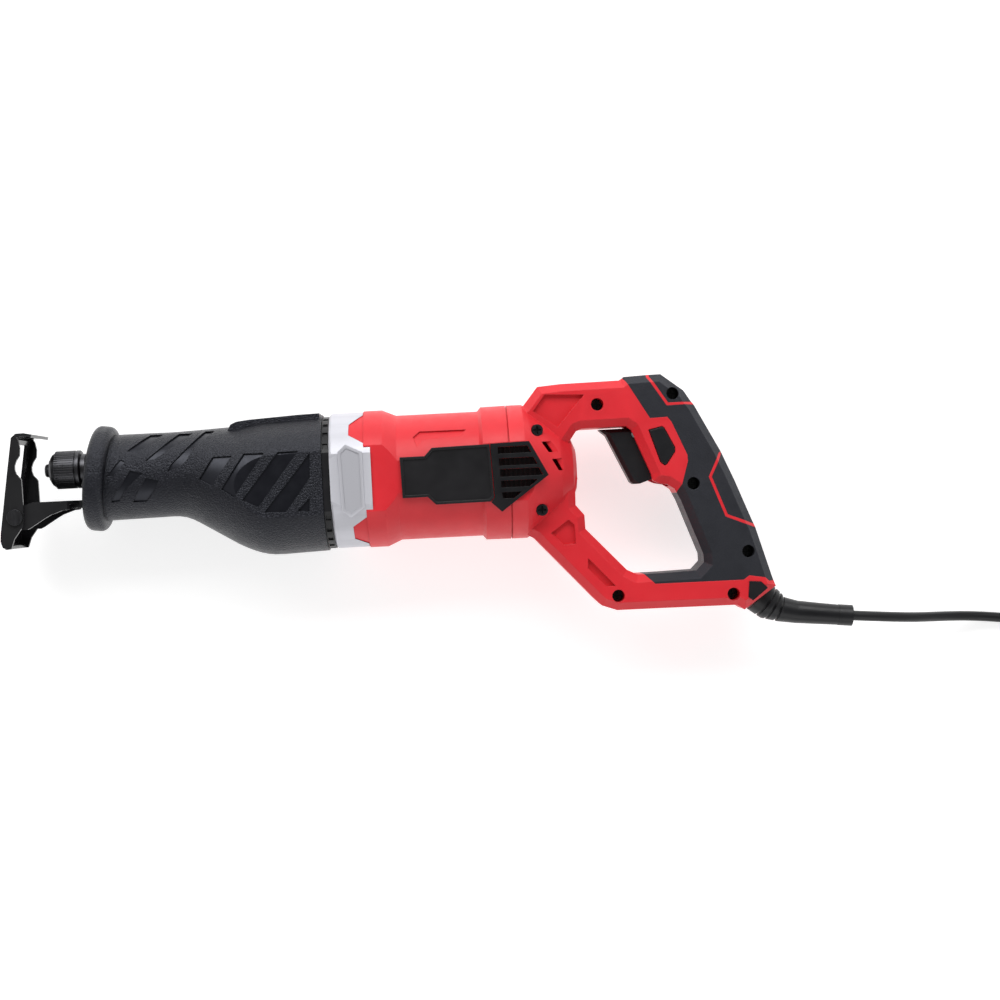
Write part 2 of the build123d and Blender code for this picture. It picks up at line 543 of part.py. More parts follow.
with BuildPart() as brush_holders:
    for s in (1, -1):
        y0, y1 = (12.5, 33.0) if s > 0 else (-33.0, -12.5)
        block(-23.5, -14.5, y0, y1, -4.6, 4.6)
        block(-22.0, -16.0, y0 - 1, y1 + 1, -3.1, 3.1, mode=Mode.SUBTRACT)
save(brush_holders, "brush_holders")
with BuildPart() as brushes:
    for s in (1, -1):
        y0, y1 = (11.0, 22.0) if s > 0 else (-22.0, -11.0)
        block(-21.9, -16.1, y0, y1, -3.0, 3.0)
save(brushes, "brushes")
with BuildPart() as brush_springs:
    for s in (1, -1):
        y0, y1 = (22.0, 32.5) if s > 0 else (-32.5, -22.0)
        rod_y(y0, y1, -19.0, H, 2.4)
save(brush_springs, "brush_springs")

# ---- crank gear on its post -------------------------------------------------------------------
with BuildPart() as gear_post:
    rod_y(-36.0, -3.4, gear_x, H, 5.0)
save(gear_post, "gear_post")
with BuildPart() as gear_washer:
    rod_y(-5.6, -4.2, gear_x, H, 7.6)
    rod_y(-7, -3, gear_x, H, 5.0, mode=Mode.SUBTRACT)
save(gear_washer, "gear_washer")

pitch_r = gear_teeth * tooth_module / 2
with BuildPart() as crank_gear:
    rod_y(-11.2, -6.3, gear_x, H, 27.2)
    rod_y(-19.4, -11.0, gear_x, H, 9.0)
    for k in range(gear_teeth):
        a = 360 / gear_teeth * (k + 0.5)
        c, s = math.cos(math.radians(a)), math.sin(math.radians(a))
        with Locations(Location((gear_x + 24.9 * c, -5.3, H - 24.9 * s), (0, a, 0))):
            Box(4.4, 2.3, 1.1)
    with BuildSketch(Plane(origin=(gear_x, -15.4, H), x_dir=(1, 0, 0), z_dir=(0, 1, 0))):
        Circle(24.0)
        with Locations((0, -15)):
            Rectangle(60, 30, mode=Mode.SUBTRACT)
    extrude(amount=4.6)
    rod_y(-7.0, 6.4, gear_x, H + crank_r, 4.0)
    rod_y(-22, -3, gear_x, H, 5.0 + run_fit, mode=Mode.SUBTRACT)
save(crank_gear, "crank_gear")

# ---- spindle: plunger with yoke, blade clamp core; its collar --------------------------------
with BuildPart() as spindle:
    rod_x(-256.0, -150.0, spindle_y, spindle_r)
    block(-153.0, -131.0, 7.0, 16.6, -20.4, 20.4)
    rod_x(-160.0, -149.0, spindle_y, spindle_r)
    block(gear_x - 4.5, gear_x + 4.5, 6.0, 13.0, -18.5, 18.5, mode=Mode.SUBTRACT)
    turned([(-255.2, 0), (-255.2, 9.2), (-252.4, 9.2), (-251.6, 7.0), (-250, 0)], spindle_y)
    turned([(-277.4, 0), (-277.4, 3.2), (-276.6, 3.9), (-274.6, 4.2), (-274.4, 6.4),
            (-273.8, 7.0), (-255, 7.0), (-255, 0)], spindle_y)
    block(-279.0, -258.0, spindle_y - 6.5, spindle_y + 6.5, -0.8, 0.8, mode=Mode.SUBTRACT)
save(spindle, "spindle")

with BuildPart() as clamp_collar:
    turned([(-273.6, 7.08), (-273.6, 7.9), (-272.6, 9.4), (-270.6, 10.6), (-268.0, 11.1),
            (-258.6, 11.1), (-258.4, 10.6), (-257.9, 10.6), (-257.7, collar_r),
            (-256.0, collar_r), (-255.5, 10.9), (-255.5, 7.08)], spindle_y)
    for k in range(48):
        a = math.radians(7.5 * k)
        with Locations(Location(
            (-264.6, spindle_y + 10.95 * math.cos(a), H + 10.95 * math.sin(a)),
            (math.degrees(a), 0, 0),
        )):
            Box(11.6, 0.8, 0.7)
save(clamp_collar, "clamp_collar")

# ---- shoe support arm, rivet, shoe --------------------------------------------------------------
arm_side = [(-296.3, -9.4), (-294.2, -7.3), (-281.7, -3.9), (-254.0, -3.9), (-254.0, -8.4),
            (-264.9, -9.6), (-271.8, -11.9), (-275.3, -13.8), (-283.8, -18.9), (-285.8, -19.8),
            (-291.2, -19.8), (-294.8, -17.2), (-296.9, -14.0), (-296.9, -10.6)]
with BuildPart() as shoe_arm:
    prism(arm_side, -18.2, 18.2)
    prism([(-300, -30), (-300, -9.2), (-281.9, -5.9), (-256.0, -5.9), (-256.0, -30)],
          -16.2, 16.2, mode=Mode.SUBTRACT)
    # the arm narrows to a flat bar where it enters the gear case
    for s in (1, -1):
        pts = [(-262.0, 18.4), (-256.5, 9.4), (-250, 9.4), (-250, 30), (-262, 30)]
        tri = extrude(
            Face(Wire.make_polygon([(x, 0, H + s * z) for x, z in pts], close=True)),
            amount=25, both=True, mode=Mode.PRIVATE,
        )
        add(tri, mode=Mode.SUBTRACT)
    block(-262.0, -201.0, -8.4, -3.9, -9.4, 9.4)
    rod_z(-30, 30, *rivet, rivet_r, mode=Mode.SUBTRACT)
save(shoe_arm, "shoe_arm")

with BuildPart() as shoe_rivet:
    rod_z(-22.6, 22.6, *rivet, rivet_r)
    for z0, z1 in ((22.25, 23.6), (-23.6, -22.25)):
        rod_z(z0, z1, *rivet, 4.7)
save(shoe_rivet, "shoe_rivet")

shoe_profile = [(-279.8, 36.0), (-284.5, 37.0), (-289.2, 36.9), (-292.0, 34.6), (-295.9, 10),
                (-300.8, -22), (-301.1, -26), (-299.9, -29.8), (-297.2, -31.1),
                (-295.6, -30.6), (-296.2, -28.9), (-297.9, -28.8), (-299.2, -25.8),
                (-298.9, -22), (-294.0, 10), (-290.3, 33.6), (-288.6, 35.0), (-284.4, 35.2),
                (-280.4, 34.2)]
flange_side = [(-291.6, 34.4), (-295.9, 10), (-300.8, -22), (-301.1, -26), (-298.2, -31),
               (-295.0, -30.8), (-292.9, -25), (-287.3, -17.5), (-286.8, -3.3), (-287.1, 9.6),
               (-287.8, 10.8), (-289.8, 13.0), (-290.6, 15.6), (-290.6, 18.0),
               (-289.5, 20.9), (-287.4, 23.9), (-287.0, 28.4), (-287.9, 33.0), (-289.0, 35.0)]
with BuildPart() as shoe:
    prism(shoe_profile, -22.0, 22.0)
    block(-310, -285, -2.0, 31.0, -12.2, 12.2, mode=Mode.SUBTRACT)
    prism(flange_side, 20.0, 22.0)
    prism(flange_side, -22.0, -20.0)
    rod_z(-30, 30, *rivet, rivet_r + run_fit, mode=Mode.SUBTRACT)
save(shoe, "shoe")

# ---- cord sleeve, clamp, cord, coil, tie, plug ---------------------------------------------------
sleeve_stations = [(145.6, -81.4, -41, 10.4), (152.4, -87.2, -38, 9.8), (159.0, -90.4, -20, 7.6),
                   (168.0, -92.4, -9, 6.8), (181.0, -94.0, -7, 6.4), (193.0, -95.4, -6, 6.1)]
with BuildPart() as cord_sleeve:
    loft(sections=[Face(Wire.make_circle(r, across(x, y, t))) for x, y, t, r in sleeve_stations],
         ruled=True)
    with BuildSketch(across(192.9, -95.39, -6)):
        Circle(6.3)
    extrude(amount=8.2)
    for x, y, t, r in ((149.4, -84.8, -40, 8.4), (153.1, -87.5, -34, 7.8), (156.8, -89.4, -24, 6.6)):
        ring = extrude(Face(Wire.make_circle(16.0, across(x, y, t))), amount=1.6,
                       mode=Mode.PRIVATE)
        core = extrude(Face(Wire.make_circle(r, across(x, y, t))), amount=1.6,
                       mode=Mode.PRIVATE)
        add(ring - core, mode=Mode.SUBTRACT)
    add(shell_blank.part, mode=Mode.SUBTRACT)
    add(mirror(shell_blank.part, about=Plane.XY.offset(H), mode=Mode.PRIVATE), mode=Mode.SUBTRACT)
save(cord_sleeve, "cord_sleeve")

with BuildPart() as cord_clamp:  # holds the cord inside the handle's corner
    block(134.9, 139.6, -78.2, -68.8, -11.4, 11.4)
    rod_x(130, 145, -74.4, 3.1, mode=Mode.SUBTRACT)
save(cord_clamp, "cord_clamp")

# the cord falls from the sleeve to the table and runs to a tied coil, its plug beside it
cord_route = [
    (201.1, -96.25, H), (223, -98.4, 34.6), (243, -100.3, 25.5), (262, -101.4, 13.6),
    (281, -102.5, 5.8), (305, -104.0, 3.3), (330, -105.0, 3.2), (355, -104.0, 3.2),
]
end_route = [(388.2, -80.0, 9.8), (394.0, -66.0, 9.5), (plug_x, -50.0, 9.2), (plug_x, -33.0, 9.2)]


def tube_radii(points):
    """Largest arc that each corner of a route leaves room for."""
    found = []
    for a, b, c in zip(points, points[1:], points[2:]):
        u, v = Vector(b) - Vector(a), Vector(c) - Vector(b)
        half_turn = math.radians(u.get_angle(v)) / 2
        found.append(0.45 * min(u.length, v.length) / math.tan(half_turn))
    return found


for name, route in (("cord", cord_route), ("cord_end", end_route)):
    radii = tube_radii(route)
    print(name, "radii", [round(r) for r in radii])
    with BuildPart() as tube:
        with BuildLine() as path:
            FilletPolyline(*route, radius=radii)
        with BuildSketch(Plane(origin=path.line @ 0, z_dir=path.line % 0)):
            Circle(cord_d / 2)
        sweep(path=path.line)
    length = sum(e.length for e in path.line.edges())
    print(name, "length", round(length, 1), "volume", round(tube.part.volume),
          "section by length", round(math.pi * cord_d**2 / 4 * length))
    save(tube, name)

with BuildPart() as cord_coil:
    at = Plane(origin=(*coil_centre, 0.6 + coil_section / 2), x_dir=(1, 0, 0), z_dir=(0, -1, 0))
    with BuildSketch(at):
        with Locations((coil_r, 0)):
            RectangleRounded(coil_section, coil_section, 5.0)
    revolve(axis=Axis((*coil_centre, 0), (0, 0, 1)))
save(cord_coil, "cord_coil")

with BuildPart() as coil_tie:
    with Locations((coil_centre[0], coil_centre[1] + coil_r, 0.6 + coil_section / 2)):
        Box(9.0, coil_section + 1.2, coil_section + 1.2)
    fillet(coil_tie.edges().filter_by(Axis.X), 5.0)
    add(cord_coil.part, mode=Mode.SUBTRACT)
save(coil_tie, "coil_tie")


def plug_plane(y):
    """Plane across the plug at y, its normal towards the pins."""
    return Plane(origin=(plug_x, y, 9.2), x_dir=(1, 0, 0), z_dir=(0, 1, 0))


with BuildPart() as plug_body:
    with BuildSketch(plug_plane(-28.0)):
        Circle(4.6)
    with BuildSketch(plug_plane(-21.0)):
        RectangleRounded(22.0, 14.0, 5.0)
    with BuildSketch(plug_plane(-13.0)):
        RectangleRounded(27.0, 17.6, 5.0)
    loft(ruled=True)
    with BuildSketch(plug_plane(-13.0)):
        RectangleRounded(27.0, 17.6, 5.0)
    extrude(amount=16.0)
    with BuildSketch(plug_plane(-33.0)):
        Circle(4.6)
    extrude(amount=5.2)
save(plug_body, "plug_body")

for name, dx in (("plug_pin_a", -9.5), ("plug_pin_b", 9.5)):
    with BuildPart() as pin:
        rod_y(3.0, 22.0, plug_x + dx, 9.2, 2.0)
        chamfer(pin.faces().sort_by(Axis.Y)[-1].edges(), 0.5)
    save(pin, name)
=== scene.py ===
"""Corded reciprocating saw: materials, cord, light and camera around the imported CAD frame."""

import json
import math

import bmesh
import bpy
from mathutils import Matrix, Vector


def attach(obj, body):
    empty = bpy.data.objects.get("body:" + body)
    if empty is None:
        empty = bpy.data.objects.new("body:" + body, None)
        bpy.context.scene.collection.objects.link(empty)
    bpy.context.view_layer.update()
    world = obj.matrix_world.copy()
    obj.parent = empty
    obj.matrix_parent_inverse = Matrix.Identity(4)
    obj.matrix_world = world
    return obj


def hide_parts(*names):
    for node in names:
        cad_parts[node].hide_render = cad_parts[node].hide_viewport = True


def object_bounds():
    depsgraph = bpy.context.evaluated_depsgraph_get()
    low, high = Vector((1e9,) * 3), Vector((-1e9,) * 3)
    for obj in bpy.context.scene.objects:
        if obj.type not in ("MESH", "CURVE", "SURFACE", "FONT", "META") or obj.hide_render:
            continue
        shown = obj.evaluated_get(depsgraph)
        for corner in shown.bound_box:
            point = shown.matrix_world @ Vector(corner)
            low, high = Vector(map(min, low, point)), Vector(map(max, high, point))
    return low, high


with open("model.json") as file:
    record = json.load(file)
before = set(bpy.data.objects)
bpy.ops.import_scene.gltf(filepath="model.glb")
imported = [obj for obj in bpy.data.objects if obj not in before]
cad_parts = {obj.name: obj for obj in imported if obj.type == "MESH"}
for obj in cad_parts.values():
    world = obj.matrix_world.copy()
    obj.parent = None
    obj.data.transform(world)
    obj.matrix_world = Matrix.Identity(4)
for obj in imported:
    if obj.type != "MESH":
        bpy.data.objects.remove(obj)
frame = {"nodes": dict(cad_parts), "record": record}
cad_box = [list(map(float, corner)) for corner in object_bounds()]
nodes = frame["nodes"]
scene = bpy.context.scene

# --------------------------------------------------------------------------- camera
CAMERA_FOOT = (-0.0361, -0.0149)
CAMERA_HEIGHT = 1.088
CAMERA_TURN = math.radians(-2.9)
SENSOR, LENS = 36, 63  # mm
SHIFT = 0.05  # the saw sits left of the middle of the picture
NEAREST = 0.01

camera_data = bpy.data.cameras.new("camera")
camera_data.sensor_width = SENSOR
camera_data.lens = LENS
camera_data.shift_x = SHIFT
camera_data.clip_start = NEAREST
camera = bpy.data.objects.new("camera", camera_data)
camera.location = (*CAMERA_FOOT, CAMERA_HEIGHT)
camera.rotation_euler = (0, 0, CAMERA_TURN)
scene.collection.objects.link(camera)
scene.camera = camera


# --------------------------------------------------------------------------- node helpers
NOISE_LOW, NOISE_HIGH = 0.3, 0.7  # nearly all values of a noise lie between these
NOISE_ROUGHNESS = 0.55
EDGE_START, EDGE_FULL = 0.53, 0.62  # pointiness at which edge wear and the painted edge highlight begin and are complete
TINT_SIZE, GLOSS_SIZE = 0.02, 0.006  # metres
MOULDED_EDGE, METAL_EDGE = 0.0005, 0.0003  # edge radii in metres
MOULDED_WEAR_AND_HIGHLIGHT, METAL_WEAR_AND_HIGHLIGHT = 0.35, 0.5  # how much of the lighter edge colour, wear and painted highlight, an edge takes
MOULDED_SWING, METAL_SWING = 0.05, 0.07  # change of roughness


class Paint:
    """A Principled material and short ways to wire its detail."""

    def __init__(self, name, colour, roughness, metallic=0.0, **sockets):
        self.material = bpy.data.materials.new(name)
        self.material.use_nodes = True
        self.tree = self.material.node_tree
        self.shader = next(n for n in self.tree.nodes if n.type == "BSDF_PRINCIPLED")
        self.shader.inputs["Base Color"].default_value = (*colour, 1)
        self.shader.inputs["Roughness"].default_value = roughness
        self.shader.inputs["Metallic"].default_value = metallic
        self.colour, self.roughness = colour, roughness
        self.base = self.height = None  # last colour and last surface normal in the chain
        for socket, value in sockets.items():
            self.shader.inputs[socket.replace("_", " ")].default_value = value
        self.place = self.add("ShaderNodeTexCoord").outputs["Object"]

    def add(self, kind, **settings):
        node = self.tree.nodes.new(kind)
        for key, value in settings.items():
            setattr(node, key, value)
        return node

    def join(self, start, end):
        self.tree.links.new(start, end)

    def stretched(self, scale):
        mapping = self.add("ShaderNodeMapping")
        mapping.inputs["Scale"].default_value = scale
        self.join(self.place, mapping.inputs["Vector"])
        return mapping.outputs["Vector"]

    def noise(self, size, detail, stretch=None):
        node = self.add("ShaderNodeTexNoise")
        node.inputs["Scale"].default_value = 1 / size
        node.inputs["Detail"].default_value = detail
        node.inputs["Roughness"].default_value = NOISE_ROUGHNESS
        self.join(self.stretched(stretch) if stretch else self.place, node.inputs["Vector"])
        return node.outputs["Fac"]

    def spread(self, value, low, high, start=NOISE_LOW, end=NOISE_HIGH):
        """Maps value, which runs from start to end, to low to high."""
        node = self.add("ShaderNodeMapRange")
        node.inputs["From Min"].default_value = start
        node.inputs["From Max"].default_value = end
        node.inputs["To Min"].default_value = low
        node.inputs["To Max"].default_value = high
        self.join(value, node.inputs["Value"])
        return node.outputs["Result"]

    def tint(self, value, amount):
        """Colour runs between darker and lighter by amount, following value."""
        ramp = self.add("ShaderNodeValToRGB")
        low, high = ramp.color_ramp.elements
        low.position, high.position = NOISE_LOW, NOISE_HIGH
        low.color = (*[c * (1 - amount) for c in self.colour], 1)
        high.color = (*[min(1, c * (1 + amount)) for c in self.colour], 1)
        self.join(value, ramp.inputs["Fac"])
        self.base = ramp.outputs["Color"]
        self.join(self.base, self.shader.inputs["Base Color"])

    def worn_and_highlit(self, colour, amount):
        """Sharp edges take another colour: rubbed wear, and a painted highlight along the
        edges.
        """
        edge = self.add("ShaderNodeNewGeometry").outputs["Pointiness"]
        mask = self.spread(edge, 0, amount, EDGE_START, EDGE_FULL)
        mix = self.add("ShaderNodeMix", data_type="RGBA")
        self.join(mask, mix.inputs["Factor"])
        self.join(self.base, mix.inputs["A"])
        mix.inputs["B"].default_value = (*colour, 1)
        self.base = mix.outputs["Result"]
        self.join(self.base, self.shader.inputs["Base Color"])

    def gloss(self, value, swing):
        """Roughness swings about its middle value."""
        self.join(
            self.spread(value, self.roughness - swing, self.roughness + swing),
            self.shader.inputs["Roughness"],
        )

    def bump(self, value, strength, depth):
        node = self.add("ShaderNodeBump")
        node.inputs["Strength"].default_value = strength
        node.inputs["Distance"].default_value = depth
        self.join(value, node.inputs["Height"])
        if self.height is not None:
            self.join(self.height, node.inputs["Normal"])
        self.height = node.outputs["Normal"]
        self.join(self.height, self.shader.inputs["Normal"])

    def rounded(self, radius):
        """Softens hard corners a little, as moulded and cast edges are."""
        node = self.add("ShaderNodeBevel", samples=4)
        node.inputs["Radius"].default_value = radius
        self.height = node.outputs["Normal"]
        self.join(self.height, self.shader.inputs["Normal"])


def moulded(name, colour, roughness, grain=0.00045, depth=0.00006, tint=0.05, **sockets):
    """Moulded plastic with a fine spark-eroded grain."""
    paint = Paint(name, colour, roughness, **sockets)
    paint.rounded(MOULDED_EDGE)
    paint.tint(paint.noise(TINT_SIZE, 4), tint)
    # edges turn lighter: rubbed wear and a painted edge highlight
    paint.worn_and_highlit([min(1, c * 1.25 + 0.01) for c in colour], MOULDED_WEAR_AND_HIGHLIGHT)
    paint.gloss(paint.noise(GLOSS_SIZE, 4), MOULDED_SWING)
    paint.bump(paint.noise(grain, 2), 0.6, depth)
    return paint


def metal(
    name, colour, roughness, stretch, grain=0.0006, depth=0.00003, tint=0.12, metallic=1.0
):
    """Machined or cast metal with lines that run the way it was cut."""
    paint = Paint(name, colour, roughness, metallic)
    paint.rounded(METAL_EDGE)
    lines = paint.noise(grain, 4, stretch)
    paint.tint(lines, tint)
    # edges turn lighter: rubbed wear and a painted edge highlight, standing in for the glints
    # that glossy edges catch
    paint.worn_and_highlit([min(1, c * 1.6 + 0.03) for c in colour], METAL_WEAR_AND_HIGHLIGHT)
    paint.gloss(lines, METAL_SWING)
    paint.bump(lines, 0.5, depth)
    return paint


# --------------------------------------------------------------------------- materials
COOL = (0.84, 0.87, 1.0, 1.0)  # cool sheen of black rubber
# the way the tool lines of a metal run
ALONG_X, ALONG_Y, ALONG_Z, ALL_ROUND = (0.08, 1, 1), (1, 0.08, 1), (1, 1, 0.08), (1, 1, 1)

paints = {
    "red_plastic": moulded(
        "red_plastic", (0.70, 0.020, 0.030), 0.42, Specular_IOR_Level=0.4
    ),
    "black_plastic": moulded(
        "black_plastic", (0.006, 0.006, 0.0075), 0.40, tint=0.2, Specular_IOR_Level=0.35
    ),
    "plate_plastic": moulded(
        "plate_plastic", (0.012, 0.0115, 0.0130), 0.34, grain=0.0003, depth=0.00003, tint=0.2,
        Specular_IOR_Level=0.4,
    ),
    "grip_rubber": moulded(
        "grip_rubber", (0.012, 0.0125, 0.0155), 0.50, grain=0.0007, depth=0.0003, tint=0.25,
        Specular_IOR_Level=0.5, Specular_Tint=COOL,
    ),
    "boot_rubber": moulded(
        "boot_rubber", (0.0026, 0.0027, 0.0044), 0.33, grain=0.0010, depth=0.0014, tint=0.3,
        Specular_IOR_Level=0.42, Specular_Tint=COOL,
    ),
    "boot_pads": moulded(
        "boot_pads", (0.0048, 0.0050, 0.0072), 0.34, grain=0.0006, depth=0.00004, tint=0.2,
        Specular_IOR_Level=0.45, Specular_Tint=COOL,
    ),
    "cord_rubber": moulded(
        "cord_rubber", (0.006, 0.006, 0.0075), 0.38, grain=0.0008, depth=0.00006, tint=0.2,
        Specular_IOR_Level=0.4,
    ),
    "seal_rubber": moulded("seal_rubber", (0.012, 0.012, 0.013), 0.7, tint=0.2),
    "silver_alloy": metal(
        "silver_alloy", (0.50, 0.50, 0.54), 0.46, ALL_ROUND, grain=0.0004, tint=0.05,
        metallic=0.25,
    ),
    "black_steel": metal(
        "black_steel", (0.006, 0.006, 0.007), 0.16, ALL_ROUND, tint=0.2, metallic=0.0
    ),
    "dark_steel": metal("dark_steel", (0.06, 0.06, 0.065), 0.34, ALONG_Y, tint=0.2),
    "steel": metal("steel", (0.56, 0.56, 0.57), 0.28, ALONG_X),
    "cast_alloy": metal(
        "cast_alloy", (0.52, 0.52, 0.53), 0.5, ALL_ROUND, grain=0.0012, depth=0.0001
    ),
    "bronze": metal("bronze", (0.62, 0.38, 0.16), 0.38, ALL_ROUND),
    "motor_steel": metal("motor_steel", (0.33, 0.33, 0.35), 0.42, ALONG_Z),
    "copper": metal("copper", (0.80, 0.33, 0.16), 0.30, ALONG_X),
    "carbon": moulded("carbon", (0.03, 0.03, 0.032), 0.6, tint=0.2),
    "pin_brass": metal("pin_brass", (0.78, 0.62, 0.32), 0.26, ALONG_Y),
}
# black lacquer on the shoe shines less than bare steel
LACQUER_SPECULAR = 0.3
paints["black_steel"].shader.inputs["Specular IOR Level"].default_value = LACQUER_SPECULAR

slot_of = {part["node"]: part["material_slot"] for part in frame["record"]["subparts"]}


def paint(obj, name):
    obj.data.materials.clear()
    obj.data.materials.append(paints[name].material)


for name, obj in nodes.items():
    paint(obj, slot_of[name])
for name in ("side_plate_left", "side_plate_right"):
    paint(nodes[name], "plate_plastic")

# smooth pads let into the boot's grained rubber, as outlines in the mid-plane, in mm
BOOT_PADS = [
    [(-181.7, 4.5), (-173.2, 17.1), (-161.7, 17.2), (-174.1, 0.2)],
    [(-168.6, -2.1), (-154.6, 18.0), (-142.6, 17.8), (-161.2, -7.3)],
    [(-156.6, -9.0), (-134.6, 17.8), (-122.6, 17.9), (-147.3, -13.7)],
    [(-144.1, -16.8), (-116.0, 16.4), (-116.7, 2.0), (-128.5, -13.7), (-131.6, -17.4)],
    [(-124.8, -16.8), (-117.3, -9.5), (-117.7, -17.7)],
    [(-224.3, 23.5), (-212.0, 32.6), (-204.6, 32.5), (-219.5, 21.4)],
    [(-213.5, 16.9), (-195.0, 32.4), (-186.8, 32.2), (-204.7, 19.6), (-208.2, 17.7)],
    [(-200.7, 10.0), (-197.9, 14.6), (-179.3, 33.0), (-173.4, 33.0), (-185.4, 22.9),
     (-189.2, 15.7), (-194.1, 11.8)],
    [(-236.0, 9.3), (-228.2, 18.4), (-225.1, 17.0), (-232.6, 8.6)],
    [(-235.4, -6.3), (-222.5, 11.6), (-215.0, 9.9), (-225.9, 0.8), (-230.2, -5.8)],
    [(-222.4, -6.7), (-213.5, 7.2), (-205.8, 5.3), (-209.0, -0.6), (-214.5, -6.9)],
]  # fmt: skip


def inside(x, y, outline):
    """Whether a point lies in a polygon."""
    odd = False
    for (xa, ya), (xb, yb) in zip(outline, outline[1:] + outline[:1]):
        if (ya > y) != (yb > y) and x < xa + (y - ya) / (yb - ya) * (xb - xa):
            odd = not odd
    return odd


SIDE_FACING = 0.15  # the pads are on faces that look at least this much sideways
boot = nodes["boot"]
boot.data.materials.append(paints["boot_pads"].material)
for face in boot.data.polygons:
    x, y = face.center.x * 1000, face.center.y * 1000
    if abs(face.normal.z) > SIDE_FACING and any(inside(x, y, pad) for pad in BOOT_PADS):
        face.material_index = 1

# the rubber skin turns down into the screw wells of the grip, so their walls are black
GRIP_SCREWS = [(98.3, 41.4), (108.0, -12.3), (138.3, -53.9)]  # mm
WELL_RADIUS = 3.9  # mm, a little over the well's own
shell = nodes["handle_shell_left"]
shell.data.materials.append(paints["grip_rubber"].material)
for face in shell.data.polygons:
    x, y = face.center.x * 1000, face.center.y * 1000
    if any(math.hypot(x - a, y - b) < WELL_RADIUS for a, b in GRIP_SCREWS):
        face.material_index = 1

# --------------------------------------------------------------------------- cord
CORD = 0.006
COIL_CENTRE = (0.355, -0.069)
COIL_RINGS = (0.0290, 0.0356, 0.0422)  # inner, middle and outer turns
COIL_LAYERS = (0.0033, 0.0098, 0.0163)
WINDING = [  # (ring, layer) that each turn lies in, next to the turn before it
    (2, 0), (1, 0), (0, 0), (0, 1), (0, 2), (1, 2), (1, 1), (2, 1), (2, 2),
]  # fmt: skip
STEP_OVER = (190, 190, 169, 169, 148, 127, 106, 85)  # where each turn crosses to the next
STEP_WIDTH = 110
TURN_POINTS = 16
COIL_START, COIL_TURNS = -90, 8.2

cord_route = [
    (0.2011, -0.09625, 0.0380),
    (0.2230, -0.0984, 0.0346),
    (0.2430, -0.1003, 0.0255),
    (0.2620, -0.1014, 0.0136),
    (0.2810, -0.1025, 0.0058),
    (0.3050, -0.1052, 0.0034),
    (0.3320, -0.1096, 0.0032),
]
end_route = [
    (0.3968, -0.0690, 0.0163),
    (0.3970, -0.0570, 0.0161),
    (0.3968, -0.0480, 0.0138),
    (0.3962, -0.0400, 0.0098),
    (0.3960, -0.0330, 0.0092),
]


def smooth(t):
    t = min(1, max(0, t))
    return t * t * (3 - 2 * t)


def coil_points():
    """The control points of the put-away turns, 16 to a turn."""
    points = []
    for i in range(int(COIL_TURNS * TURN_POINTS)):
        angle = COIL_START + i * 360 / TURN_POINTS
        ring, layer = COIL_RINGS[WINDING[0][0]], COIL_LAYERS[WINDING[0][1]]
        for turn, middle in enumerate(STEP_OVER):
            part = smooth((angle - 360 * turn - middle) / STEP_WIDTH + 0.5)
            (r0, z0), (r1, z1) = WINDING[turn], WINDING[turn + 1]
            ring += part * (COIL_RINGS[r1] - COIL_RINGS[r0])
            layer += part * (COIL_LAYERS[z1] - COIL_LAYERS[z0])
        a = math.radians(angle)
        points.append(
            (COIL_CENTRE[0] + ring * math.cos(a), COIL_CENTRE[1] + ring * math.sin(a), layer)
        )
    return points


def cord_curve(name, points, diameter):
    data = bpy.data.curves.new(name, "CURVE")
    data.dimensions = "3D"
    data.bevel_depth = diameter / 2
    data.bevel_resolution = 5
    data.resolution_u = 6
    data.use_fill_caps = True
    spline = data.splines.new("NURBS")
    spline.points.add(len(points) - 1)
    for point, place in zip(spline.points, points):
        point.co = (*place, 1)
    spline.order_u = 3
    spline.use_endpoint_u = True
    obj = bpy.data.objects.new(name, data)
    scene.collection.objects.link(obj)
    return obj


cord = cord_curve("mains_cord", cord_route + coil_points() + end_route, CORD)
cord.data.materials.append(paints["cord_rubber"].material)
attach(cord, "frame")
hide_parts("cord", "cord_coil", "cord_end")

# --------------------------------------------------------------------------- air guides
# outline in the mid-plane and depths, all in mm
GUIDE = [(-7.6, 15.2), (11.6, 15.2), (19.4, -3.0), (10.8, -10.2), (2.0, -16.6), (-6.6, -16.6)]
MID_PLANE = 0.038  # metres above the floor
GUIDE_DEPTH, GUIDE_WALL = 31.4, 0.8  # the depth from the mid-plane
RIB_STEP, RIB_WIDTH, RIB_HEIGHT, RIB_INSET = 2.9, 0.9, 1.1, 1.2
RIB_TOP, RIB_LOW, RIBS_END = 15.0, -16.4, 17
TOP_TURNS, TOP_SLOPE = 10.0, -2.2  # the guide's upper edge goes down from here
LOW_TURNS, LOW_SLOPE = 1.0, 0.75  # and its lower edge goes up from here


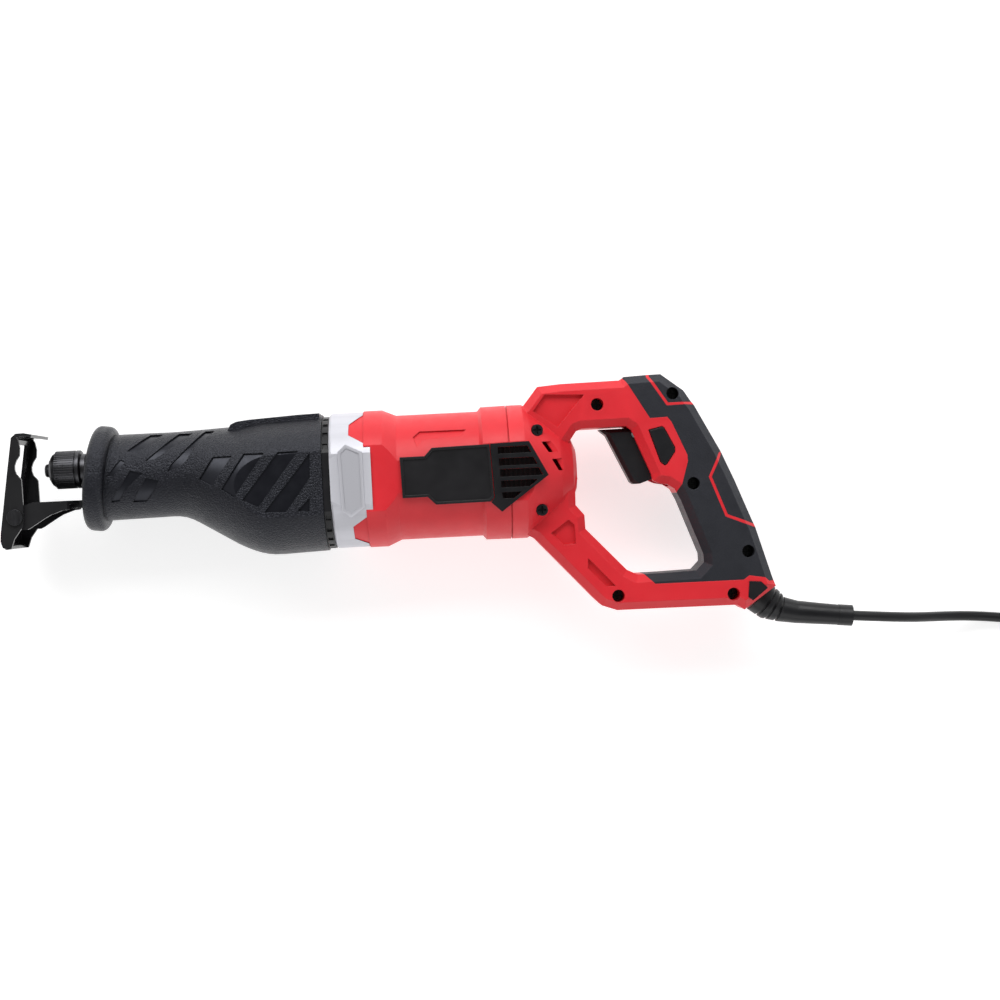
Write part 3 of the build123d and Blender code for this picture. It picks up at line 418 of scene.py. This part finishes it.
def air_guide(name, side):
    """Ribbed black guide behind a grille's slots, inside the end cap."""
    verts, faces = [], []

    def slab(outline, low, high):
        first, count = len(verts), len(outline)
        for z in (low, high):
            verts.extend((x / 1000, y / 1000, MID_PLANE + side * z / 1000) for x, y in outline)
        faces.append(list(range(first, first + count)))
        faces.append(list(range(first + count, first + 2 * count)))
        for i in range(count):
            j = (i + 1) % count
            faces.append([first + i, first + j, first + count + j, first + count + i])

    slab(GUIDE, GUIDE_DEPTH - GUIDE_WALL, GUIDE_DEPTH)
    x = GUIDE[0][0] + RIB_INSET
    while x < RIBS_END:
        top = min(RIB_TOP, RIB_TOP + (x - TOP_TURNS) * TOP_SLOPE)
        low = max(RIB_LOW, RIB_LOW + (x - LOW_TURNS) * LOW_SLOPE)
        right = x + RIB_WIDTH
        rib = [(x, low), (right, low), (right, top), (x, top)]
        slab(rib, GUIDE_DEPTH, GUIDE_DEPTH + RIB_HEIGHT)
        x += RIB_STEP
    mesh = bpy.data.meshes.new(name)
    mesh.from_pydata(verts, [], faces)
    work = bmesh.new()
    work.from_mesh(mesh)
    bmesh.ops.recalc_face_normals(work, faces=work.faces)
    work.to_mesh(mesh)
    work.free()
    mesh.materials.append(paints["black_plastic"].material)
    obj = bpy.data.objects.new(name, mesh)
    scene.collection.objects.link(obj)
    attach(obj, "frame")


air_guide("air_guide_left", 1)
air_guide("air_guide_right", -1)

# --------------------------------------------------------------------------- floor and light
FLOOR_REACH = 14.0
FLOOR_GREY, FLOOR_GLOW = 0.62, 0.66  # a lit table top
UNDER = 0.0002  # keeps the floor just clear of what stands on it

r = FLOOR_REACH
floor_mesh = bpy.data.meshes.new("floor")
floor_mesh.from_pydata([(-r, -r, 0), (r, -r, 0), (r, r, 0), (-r, r, 0)], [], [(0, 1, 2, 3)])
floor = bpy.data.objects.new("floor", floor_mesh)
floor.location = (0, 0, cad_box[0][2] - UNDER)
scene.collection.objects.link(floor)
floor_paint = Paint("floor_paint", (FLOOR_GREY, FLOOR_GREY, FLOOR_GREY), 0.9)
floor_paint.shader.inputs["Emission Color"].default_value = (1, 1, 1, 1)
floor_paint.shader.inputs["Emission Strength"].default_value = FLOOR_GLOW
floor_paint.tint(floor_paint.noise(0.4, 2), 0.01)
floor_mesh.materials.append(floor_paint.material)


def area_light(name, place, target, width, height, power):
    data = bpy.data.lights.new(name, "AREA")
    data.shape = "RECTANGLE"
    data.size, data.size_y = width, height
    data.energy = power
    obj = bpy.data.objects.new(name, data)
    obj.location = place
    aim = Vector(target) - Vector(place)
    obj.rotation_euler = aim.to_track_quat("-Z", "Y").to_euler()
    scene.collection.objects.link(obj)


area_light("key", (-0.1, 1.1, 0.95), (-0.03, 0, 0), 2.2, 0.8, 21)
area_light("fill", (0.1, -1.2, 0.85), (0, 0, 0), 2.4, 0.8, 5)

# an even white surround that is darker straight overhead, where the camera is
HORIZON, OVERHEAD = 0.54, 0.14
FADE_START, FADE_END = 0.70, 0.95  # heights on the unit sphere
world = bpy.data.worlds.new("studio")
world.use_nodes = True
sky = world.node_tree
background = next(n for n in sky.nodes if n.type == "BACKGROUND")
background.inputs["Color"].default_value = (1, 1, 1, 1)
direction = sky.nodes.new("ShaderNodeTexCoord")
height = sky.nodes.new("ShaderNodeSeparateXYZ")
fade = sky.nodes.new("ShaderNodeMapRange")
fade.inputs["From Min"].default_value = FADE_START
fade.inputs["From Max"].default_value = FADE_END
fade.inputs["To Min"].default_value = HORIZON
fade.inputs["To Max"].default_value = OVERHEAD
sky.links.new(direction.outputs["Generated"], height.inputs["Vector"])
sky.links.new(height.outputs["Z"], fade.inputs["Value"])
sky.links.new(fade.outputs["Result"], background.inputs["Strength"])
scene.world = world
scene.view_settings.view_transform = "Standard"
